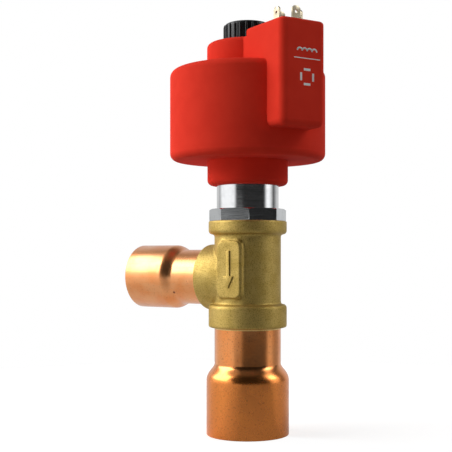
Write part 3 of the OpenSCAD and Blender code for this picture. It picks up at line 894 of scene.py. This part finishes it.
@dataclass
class MotorCartridge(Assembly):
    """Steel collar, the threaded stud on top of the motor can, and the races inside it."""

    collar_edge: float = 0.14 * MM
    thread_depth: float = 0.6 * MM
    thread_pitch: float = 1.5 * MM
    thread_length: float = 9 * MM
    thread_steps: int = 48
    stud_tip: float = 0.9 * MM
    race_relief: float = 0.03 * MM

    def build(self) -> None:
        """Round the collar's edges, thread the stud and relieve the races."""
        collar = soften(cad_copy("cartridge_collar", "octagon_collar"), self.collar_edge)
        collar = even(smooth(collar, crease=50))
        self.shelf.seat(collar, "valve", Slot.COLLAR_STEEL, "cartridge_collar")
        self.shelf.seat(smooth(self.stud(), crease=30), "valve", Slot.CAN_STEEL, "can_stud")
        for end in ("upper", "lower"):
            node = f"{end}_bearing_inner_race"
            race = self.relieve(cad_copy(node, f"{end}_race"))
            self.shelf.seat(smooth(race, crease=30), "rotor", Slot.BEARING_STEEL, node)

    def relieve(self, race: Piece) -> Piece:
        """Let both ends of a turning race stand back from the plane of its holder's lip.

        Args:
            race: Copy of a CAD race.

        Returns:
            The same race.
        """
        levels = [vert.co.z for vert in race.data.vertices]
        middle, half = (min(levels) + max(levels)) / 2, (max(levels) - min(levels)) / 2
        for vert in race.data.vertices:
            vert.co.z = middle + (vert.co.z - middle) * (1 - self.race_relief / half)
        return race

    def stud(self) -> Piece:
        """Turned core of the stud, with its thread wound on by Geometry Nodes.

        Returns:
            The threaded stud.
        """
        low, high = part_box("can_stud")
        crest = high.x
        root, start, tip = crest - self.thread_depth, high.z - self.thread_length, high.z - self.stud_tip
        core = lathe("threaded_stud", [
            (0, low.z), (crest, low.z), (crest, start), (root, start + self.thread_depth),
            (root, tip), (root - self.stud_tip, high.z), (0, high.z),
        ], steps=96, ring=False)
        tree = GeometryTree("wind_thread")
        radius, depth, pitch = tree.size("Radius"), tree.size("Depth"), tree.size("Pitch")
        turns, foot = tree.size("Turns"), tree.size("Foot")
        helix = tree.add("GeometryNodeCurveSpiral", {
            "Resolution": self.thread_steps, "Rotations": turns, "Start Radius": radius, "End Radius": radius,
            "Height": tree.maths("MULTIPLY", turns, pitch), "Reverse": False,
        })["Curve"]
        ridge = tree.add("GeometryNodeCurvePrimitiveCircle", {"Resolution": 4, "Radius": depth})["Curve"]
        first = start + self.thread_pitch
        return tree.run(core, tree.lift(tree.sweep(helix, ridge), foot), {
            "Radius": root, "Depth": self.thread_depth, "Pitch": self.thread_pitch,
            "Turns": (tip - first) / self.thread_pitch, "Foot": first,
        })


@dataclass
class FixingNut(Assembly):
    """Black cap nut with a ring of grip ribs."""

    ribs: int = 24
    rib_radius: float = 0.62 * MM
    rib_sides: int = 14
    tip_share: float = 0.35
    core_inset: float = 0.55 * MM
    edge: float = 1.5 * MM
    edge_steps: int = 8
    roof: float = 1.6 * MM
    bore: float = 5.05 * MM
    groove: Point = (6.45 * MM, 8.55 * MM)
    groove_depth: float = 1.75 * MM

    def build(self) -> None:
        """Turn the nut's core and set its ribs."""
        low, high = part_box("fixing_nut")
        rim, shoulder = high.x - self.core_inset, high.z - self.edge
        groove_in, groove_out = self.groove
        roof, ceiling = high.z - self.roof, low.z + self.groove_depth
        core = lathe("ribbed_nut", [
            (0, high.z), *reversed(arc((rim - self.edge, shoulder), self.edge, 0, 90, self.edge_steps)),
            (rim, low.z), (groove_out, low.z), (groove_out, ceiling), (groove_in, ceiling),
            (groove_in, low.z), (self.bore, low.z), (self.bore, roof), (0, roof),
        ], steps=144, ring=False)
        nut = self.set_ribs(core, {
            "Ribs": self.ribs, "Ring radius": high.x - self.rib_radius, "Rib radius": self.rib_radius,
            "Rib height": shoulder - low.z, "Foot": low.z, "Tip height": self.edge / 2,
        })
        self.shelf.seat(smooth(nut, crease=50), "nut", Slot.BLACK_NUT, "fixing_nut")

    def set_ribs(self, core: Piece, sizes: dict[str, float | int]) -> Piece:
        """Stand round ribs with tapered tips in a ring around a core.

        Args:
            core: Turned core of the nut.
            sizes: Input name of the tree to value.

        Returns:
            The same piece with its ribs.
        """
        tree = GeometryTree("stand_ribs")
        count, ring_radius, rib_radius = tree.count("Ribs"), tree.size("Ring radius"), tree.size("Rib radius")
        rib_height, foot, tip_height = tree.size("Rib height"), tree.size("Foot"), tree.size("Tip height")
        places = tree.add("GeometryNodeMeshCircle", {"Vertices": count, "Radius": ring_radius})["Mesh"]
        column = tree.add("GeometryNodeMeshCylinder", {
            "Vertices": self.rib_sides, "Radius": rib_radius, "Depth": rib_height,
        })["Mesh"]
        tip = tree.add("GeometryNodeMeshCone", {
            "Vertices": self.rib_sides, "Radius Top": tree.maths("MULTIPLY", rib_radius, self.tip_share),
            "Radius Bottom": rib_radius, "Depth": tip_height,
        })["Mesh"]
        middle = tree.maths("ADD", foot, tree.maths("MULTIPLY", rib_height, 0.5))
        rib = tree.gather(tree.lift(column, middle), tree.lift(tip, tree.maths("ADD", foot, rib_height)))
        return tree.run(core, tree.scatter(places, rib), sizes)


@dataclass
class CoilShell(Assembly):
    """The red overmould: a turned drum with neck and boss, and a connector block with a crisp top."""

    neck: float = 18.55 * MM
    drum: float = 35.65 * MM
    boss: float = 18.7 * MM
    neck_foot: float = 114.3 * MM
    drum_foot: float = 125.5 * MM
    drum_top: float = 166.7 * MM
    boss_top: float = 179.2 * MM
    neck_round: float = 2.4 * MM
    drum_round: float = 3.2 * MM
    boss_round: float = 2 * MM
    round_steps: int = 8
    bore: float = 14.33 * MM
    bore_gap: float = 0.2 * MM
    stud_hole: float = 5.16 * MM
    pocket: tuple[float, float, float] = (25.05 * MM, 129.05 * MM, 163.15 * MM)
    groove: tuple[float, float, float] = (16.38 * MM, 117.25 * MM, 119.35 * MM)
    block_inner: float = 17.4 * MM
    block_root: float = 30 * MM
    block_half: float = 11.5 * MM
    block_foot: float = 136.7 * MM
    block_top: float = 182 * MM
    web_inner: float = 14.6 * MM
    web_drop: float = 0.6 * MM
    root_drop: float = 1 * MM
    edge_round: float = 3.4 * MM
    edge_steps: int = 12
    foot_round: float = 3 * MM
    rim: float = 1.5 * MM
    rim_steps: int = 4
    hole_sides: int = 48

    def build(self) -> None:
        """Turn the drum and set the block on its side."""
        coil = even(smooth(join("coil_shell", [self.turned(), self.block()]), crease=30))
        self.shelf.seat(coil, "valve", Slot.RED_OVERMOULD, "coil_housing")

    def turned(self) -> Piece:
        """Neck, drum and boss in one turn, with the bore and the pockets inside.

        Returns:
            The turned piece.
        """
        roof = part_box("motor_can")[1].z + self.bore_gap
        pocket, pocket_foot, pocket_top = self.pocket
        groove, groove_foot, groove_top = self.groove

        def corner(radius: float, level: float, bend: float, top: bool) -> list[Point]:
            """Rounded outer corner at a top or a foot."""
            start, inward = (0, -bend) if top else (270, bend)
            return arc((radius - bend, level + inward), bend, start, start + 90, self.round_steps)

        return lathe("drum", [
            *corner(self.neck, self.neck_foot, self.neck_round, top=False), (self.neck, self.drum_foot),
            *corner(self.drum, self.drum_foot, self.drum_round, top=False),
            *corner(self.drum, self.drum_top, self.drum_round, top=True), (self.boss, self.drum_top),
            *corner(self.boss, self.boss_top, self.boss_round, top=True),
            (self.stud_hole, self.boss_top), (self.stud_hole, roof), (self.bore, roof),
            (self.bore, pocket_top), (pocket, pocket_top), (pocket, pocket_foot), (self.bore, pocket_foot),
            (self.bore, groove_top), (groove, groove_top), (groove, groove_foot), (self.bore, groove_foot),
            (self.bore, self.neck_foot),
        ], steps=192)

    def block(self) -> Piece:
        """Connector block, with a web that runs in to the boss and a hole for the insert.

        Returns:
            The block at its place.
        """
        web_top, web_foot = self.boss_top - self.web_drop, self.drum_top - self.root_drop
        block = plate("block", [
            (self.block_root, self.block_foot), (BLOCK_FACE, self.block_foot),
            (BLOCK_FACE, self.block_top), (self.block_inner, self.block_top), (self.block_inner, web_top),
            (self.web_inner, web_top), (self.web_inner, web_foot), (self.block_root, web_foot),
        ], -self.block_half, self.block_half)
        block.data.transform(Matrix.Rotation(math.pi / 2, 4, "X"))
        carve(block, join("edges", [self.edge_cutter(side) for side in (-1, 1)]))
        round_rim(block, self.block_top, self.rim, self.rim_steps)
        round_rim(block, self.block_foot, self.foot_round, self.round_steps)
        block.data.transform(Matrix.Rotation(BLOCK_TURN, 4, "Z"))
        low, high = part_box("connector_insert")
        centre, radius = (low + high) / 2, (high.x - low.x) / 2
        hole = arc((centre.x, centre.y), radius, 0, 360 - 360 / self.hole_sides, self.hole_sides - 1)
        return carve(block, plate("hole", hole, low.z, high.z + self.rim))

    def edge_cutter(self, side: int) -> Piece:
        """Tool that rounds one upright edge of the block.

        Args:
            side: 1 or -1 for the edge's side.

        Returns:
            The tool, in the block's own axes.
        """
        bend = beyond = self.edge_round
        x, y = BLOCK_FACE, self.block_half
        outline = [(x - bend, y + beyond), *arc((x - bend, y - bend), bend, 90, 0, self.edge_steps),
                   (x + beyond, y - bend), (x + beyond, y + beyond)]
        return plate("edge", [(x, side * y) for x, y in outline],
                     self.block_foot - beyond, self.block_top + beyond)


@dataclass
class PlugBlock(Assembly):
    """Plug blades and the white winding sign on the connector block."""

    blades: int = 4
    blade_edge: float = 0.1 * MM
    tip_taper: float = 2.2 * MM
    tip_lift: float = 1.1 * MM
    tip_slack: float = 0.1 * MM
    ink_height: float = 0.04 * MM
    stroke: float = 0.7 * MM
    humps: int = 4
    hump_radius: float = 1.25 * MM
    hump_steps: int = 20
    sign_middle: Point = (1.2 * MM, 168.2 * MM)
    rule_drop: float = 3.0 * MM
    rule_length: float = 13.4 * MM
    plan_middle: Point = (1.2 * MM, 157.4 * MM)
    plan_reach: float = 3.1 * MM
    plan_bar: Point = (1.0 * MM, 3.4 * MM)
    ink: Moulded = Moulded((0.86, 0.85, 0.84), (0.80, 0.79, 0.78), roughness=0.4, depth=0.004 * MM)

    def build(self) -> None:
        """Round the blades and print the signs."""
        for number in range(1, self.blades + 1):
            node = f"terminal_blade_{number}"
            blade = soften(self.blunt(cad_copy(node, f"plug_blade_{number}")), self.blade_edge)
            self.shelf.seat(smooth(blade, crease=20), "valve", Slot.BLADE_PLATE, node)
        sign = join("winding_sign", [self.humps_row(), *self.bars()])
        sign.data.transform(self.on_face())
        self.shelf.seat(sign, "valve", Slot.SEAL_PTFE, material=self.ink.paint("white_print"))

    def blunt(self, blade: Piece) -> Piece:
        """Shorten the taper at a blade's tip.

        Args:
            blade: Copy of a CAD blade.

        Returns:
            The same blade.
        """
        corners = [vert.co for vert in blade.data.vertices]
        top = max(corner.z for corner in corners)
        tongue = [corner for corner in corners if corner.z > top - 2 * self.tip_taper]
        middle = sum(tongue, Vector()) / len(tongue)
        half = max((corner - middle).xy.length for corner in tongue)
        for corner in tongue:
            outer = (corner - middle).xy.length > half / 2
            if outer and abs(top - self.tip_taper - corner.z) < self.tip_slack:
                corner.z += self.tip_lift
        return blade

    @staticmethod
    def on_face() -> Matrix:
        """Placing of a flat drawing, X across and Y up, on the block's outer face."""
        upright = Matrix(((0, 0, 1, BLOCK_FACE), (1, 0, 0, 0), (0, 1, 0, 0), (0, 0, 0, 1)))
        return Matrix.Rotation(BLOCK_TURN, 4, "Z") @ upright

    def bars(self) -> list[Piece]:
        """The line below the winding sign, and a plan of the plug.

        Returns:
            The line, and a bar for each of the four blades.
        """
        (x, y), (u, v), (thin, long) = self.sign_middle, self.plan_middle, self.plan_bar
        places = [(x, y - self.rule_drop, self.rule_length, self.stroke / 2)]
        places += [(u + side * self.plan_reach, v, thin, long) for side in (-1, 1)]
        places += [(u, v + side * self.plan_reach, long, thin) for side in (-1, 1)]
        return [plate("bar", [(x + i * w / 2, y + j * h / 2) for i, j in CORNERS], 0, self.ink_height)
                for x, y, w, h in places]

    def humps_row(self) -> Piece:
        """Row of half rings that stands for a winding.

        Returns:
            The row, flat in X and Y.
        """
        tree = GeometryTree("print_humps")
        count, radius, stroke = tree.count("Humps"), tree.size("Radius"), tree.size("Stroke")
        thick, left, low = tree.size("Thickness"), tree.size("Left"), tree.size("Low")
        places = tree.add("GeometryNodeMeshLine", {
            "Count": count, "Offset": tree.vector(X=tree.maths("MULTIPLY", radius, 2.0)),
            "Start Location": tree.vector(X=left, Y=low, Z=tree.maths("MULTIPLY", thick, 0.5)),
        })["Mesh"]
        half_ring = tree.add("GeometryNodeCurveArc", {
            "Resolution": self.hump_steps, "Radius": radius, "Start Angle": 0.0, "Sweep Angle": math.pi,
        })["Curve"]
        section = tree.add("GeometryNodeCurvePrimitiveQuadrilateral", {
            "Width": stroke, "Height": thick,
        })["Curve"]
        x, y = self.sign_middle
        row = tree.scatter(places, tree.sweep(half_ring, section))
        return tree.run(as_piece("humps", bmesh.new()), row, {
            "Humps": self.humps, "Radius": self.hump_radius, "Stroke": self.stroke,
            "Thickness": self.ink_height, "Left": x - (self.humps - 1) * self.hump_radius, "Low": y,
        })


class CarriedNodes(Assembly):
    """The CAD nodes that show as they are and only take a finish."""

    def dress(self) -> None:
        """Give every CAD node that still shows the finish of its slot."""
        for part in frame["record"]["subparts"]:
            node = frame["nodes"][part["node"]]
            if node.hide_render:
                continue
            node.data.materials.clear()
            node.data.materials.append(self.shelf.take(Slot(part["material_slot"])))
            LOG.info("%s keeps its CAD shape in %s", node.name, part["material_slot"])


@dataclass(frozen=True)
class LightPanel:
    """A soft panel in the studio around the object.

    Angles are degrees. Left and right are turns from the camera's axis as seen from the object, positive to
    the camera's right. The fades are the widths of the soft edges outside the panel.
    """

    left: float
    right: float
    left_fade: float
    right_fade: float
    low: float
    high: float
    radiance: float
    end_fade: float = 10.0


class SkySheet(NodeSheet):
    """Builds the nodes of a world whose light depends on direction."""

    def __init__(self, tree: bpy.types.NodeTree) -> None:
        """Start from the world's own tree."""
        super().__init__(tree)
        self.direction = self.add("ShaderNodeTexCoord", {})["Generated"]

    def panel(self, panel: LightPanel, turn: Socket, rise: Socket) -> Socket:
        """Light of one panel.

        Args:
            panel: The panel.
            turn: Turn of the direction from the camera's axis, in radians.
            rise: Height of the direction above the horizon, in radians.

        Returns:
            Its radiance in each direction.
        """
        edges = (
            (turn, panel.left - panel.left_fade, panel.left),
            (turn, panel.right + panel.right_fade, panel.right),
            (rise, panel.low - panel.end_fade, panel.low),
            (rise, panel.high + panel.end_fade, panel.high),
        )
        light: Value = panel.radiance
        for value, outside, inside in edges:
            fade = self.span(value, math.radians(outside), math.radians(inside))
            light = self.maths("MULTIPLY", light, fade)
        return light

    def finish(self, light: Socket) -> None:
        """Send the light to the world, white where the camera looks past the object.

        Args:
            light: Radiance by direction.
        """
        rays = self.add("ShaderNodeLightPath", {})
        seen = self.maths("MAXIMUM", rays["Is Camera Ray"], rays["Is Transmission Ray"])
        dimmed = self.maths("MULTIPLY", light, self.maths("SUBTRACT", 1.0, seen))
        background = self.nodes["Background"]
        background.inputs["Color"].default_value = (1, 1, 1, 1)
        self.feed(background.inputs["Strength"], self.maths("ADD", dimmed, seen))


@dataclass
class Studio:
    """White studio: a toned floor, soft panels on both sides and a camera level with the body.

    The back band says how far a direction points to the camera where the light behind the object begins
    and is full. The overhead and ground bands are heights above the horizon in degrees, and each floor tone
    is a turn from the camera's axis in degrees with its brightness.
    """

    azimuth: float = 33.0
    distance: float = 0.438
    eye_height: float = 0.0824
    focal_pixels: float = 950.0
    axis_pixels: float = 21.7
    horizon_pixels: float = 29.0
    sensor: float = 36.0
    near: float = 0.01
    floor_radius: float = 0.3
    floor_drop: float = 0.1 * MM
    floor_light: float = 0.62
    floor_tones: tuple[Point, ...] = (
        (-180, 0.6), (-111, 0.67), (-66, 0.64), (-46, 0.42), (-14, 0.09), (64, 0.05), (76, 0.36), (112, 0.4),
        (180, 0.6))
    floor_gloss: float = 0.3
    front: float = 0.02
    back: float = 0.72
    back_band: Point = (-0.3, -0.8)
    overhead: float = 0.13
    overhead_band: Point = (50, 75)
    ground: float = 0.3
    ground_band: Point = (1, -6)
    panels: tuple[LightPanel, ...] = (
        LightPanel(-106, -54, 34, 15, 3, 18, 1.25),
        LightPanel(-140, -25, 20, 14, -90, -5, 0.95, end_fade=8),
        LightPanel(74, 140, 8, 24, -90, -5, 0.5, end_fade=8),
        LightPanel(-110, -68, 20, 14, 18, 46, 5.2, end_fade=9),
        LightPanel(-102, -78, 10, 12, 26, 42, 5.6, end_fade=8),
        LightPanel(-125, -60, 30, 24, 50, 72, 0.45),
        LightPanel(79, 84, 18, 32, 3, 20, 1.35),
        LightPanel(79, 84, 18, 32, 20, 48, 2.1),
        LightPanel(76, 92, 8, 10, 28, 42, 5.0, end_fade=7),
    )

    def __post_init__(self) -> None:
        """Work out the directions from the object to the camera and to the camera's right."""
        turn = math.radians(self.azimuth)
        self.toward = Vector((math.sin(turn), -math.cos(turn), 0))
        self.right = Vector((math.cos(turn), math.sin(turn), 0))

    def build(self) -> None:
        """Set up the camera, the floor and the surroundings."""
        scene = bpy.context.scene
        scene.view_settings.view_transform = "Standard"
        self.build_camera(scene)
        self.build_floor()
        self.build_surroundings(scene)

    def build_camera(self, scene: bpy.types.Scene) -> None:
        """Stand the camera at the photograph's place.

        Args:
            scene: Scene to look at.
        """
        lens = bpy.data.cameras.new("camera")
        lens.sensor_width = self.sensor
        lens.lens = self.focal_pixels / IMAGE_PIXELS * self.sensor
        lens.shift_x = -self.axis_pixels / IMAGE_PIXELS
        lens.shift_y = self.horizon_pixels / IMAGE_PIXELS
        lens.clip_start = self.near
        camera = bpy.data.objects.new("camera", lens)
        camera.location = self.toward * self.distance + Vector((0, 0, self.eye_height))
        camera.rotation_euler = (-self.toward).to_track_quat("-Z", "Y").to_euler()
        scene.collection.objects.link(camera)
        scene.camera = camera

    def build_floor(self) -> None:
        """Lay a round floor under the outlet's mouth."""
        shape = bmesh.new()
        bmesh.ops.create_circle(shape, cap_ends=True, segments=96, radius=self.floor_radius)
        floor = as_piece("floor", shape)
        floor.location.z = CAD_BOX[0].z - self.floor_drop
        floor.data.materials.append(self.floor_paint())

    def floor_paint(self) -> Material:
        """Paint toned by the turn around the stem, with a glow that only the camera and gloss see.

        Returns:
            The material.
        """
        sheet = MaterialSheet("pale_floor")
        turn = sheet.maths("ARCTAN2", *(sheet.dot(sheet.place, axis) for axis in (self.right, self.toward)))
        ramp = sheet.nodes.new("ShaderNodeValToRGB")
        sheet.feed(ramp.inputs["Fac"], sheet.maths("MULTIPLY_ADD", turn, 1 / math.tau, 0.5))
        stops = ramp.color_ramp.elements
        for degrees, _ in self.floor_tones[1:-1]:
            stops.new(degrees / 360 + 0.5)
        for stop, (_, tone) in zip(stops, self.floor_tones):
            stop.color = (tone, tone, tone, 1)
        shade = ramp.outputs["Color"]
        paint = sheet.add("ShaderNodeBsdfDiffuse", {"Color": shade})["BSDF"]
        rays = sheet.add("ShaderNodeLightPath", {})
        seen = sheet.maths("MULTIPLY_ADD", rays["Is Glossy Ray"], self.floor_gloss, rays["Is Camera Ray"])
        rest = sheet.maths("MULTIPLY_ADD", shade, -self.floor_light, 1.0)
        glow = sheet.add("ShaderNodeEmission", {"Strength": sheet.maths("MULTIPLY", rest, seen)})["Emission"]
        both = sheet.add("ShaderNodeAddShader", {0: paint, 1: glow})["Shader"]
        sheet.nodes.remove(sheet.shader)
        sheet.feed(sheet.nodes["Material Output"].inputs["Surface"], both)
        return sheet.material

    def build_surroundings(self, scene: bpy.types.Scene) -> None:
        """Paint the light of the studio by direction, with white behind the object for the camera.

        Args:
            scene: Scene that gets the world.
        """
        world = bpy.data.worlds.new("studio")
        world.use_nodes = True
        scene.world = world
        sky = SkySheet(world.node_tree)
        axes = (self.right, self.toward, Vector((0, 0, 1)))
        across, ahead, up = (sky.dot(sky.direction, axis) for axis in axes)
        turn, rise = sky.maths("ARCTAN2", across, ahead), sky.maths("ARCSINE", up)
        light = sky.span(ahead, *self.back_band, self.front, self.back)
        for band, level in ((self.overhead_band, self.overhead), (self.ground_band, self.ground)):
            light = sky.maths("MAXIMUM", light, sky.span(rise, *map(math.radians, band), 0, level))
        for panel in self.panels:
            light = sky.maths("MAXIMUM", light, sky.panel(panel, turn, rise))
        sky.finish(light)


BELL_COPPER = (0.92, 0.30, 0.064)
NECK_COPPER = (0.84, 0.33, 0.11)
PALE_COPPER = (0.86, 0.38, 0.15)
OUTLET = BelledFitting(
    "outlet_fitting", Lie.UPRIGHT, wall=1.4 * MM, bell_length=24.2 * MM, shoulder_length=8.4 * MM,
    neck_radius=15.3 * MM, insert=6 * MM,
    finish=Drawn(BELL_COPPER, NECK_COPPER, Grain.ALONG_Z, "Z", (25 * MM, 33 * MM)),
)
INLET = BelledFitting(
    "inlet_fitting", Lie.SIDEWAYS, wall=1 * MM, bell_length=20.4 * MM, shoulder_length=6.4 * MM,
    neck_radius=12.9 * MM, insert=6 * MM, shoulder_skew=1.0,
    finish=Drawn(PALE_COPPER, PALE_COPPER, Grain.ALONG_X, "X", (-40 * MM, -34 * MM), satin=0.32, bright=0.3,
                 coat=0.45, specks=0.2, dimple=(-34.4 * MM, -10.7 * MM, 64.8 * MM)),
)


def main() -> None:
    """Build the studio and the sub-assemblies in order, and report each piece."""
    logging.basicConfig(level=logging.INFO, format="%(message)s")
    Studio().build()
    for assembly in (OUTLET, INLET, ForgedBody(), MotorCartridge(), CoilShell(), PlugBlock(), FixingNut()):
        assembly.build()
    CarriedNodes().dress()


if __name__ == "__main__":
    main()
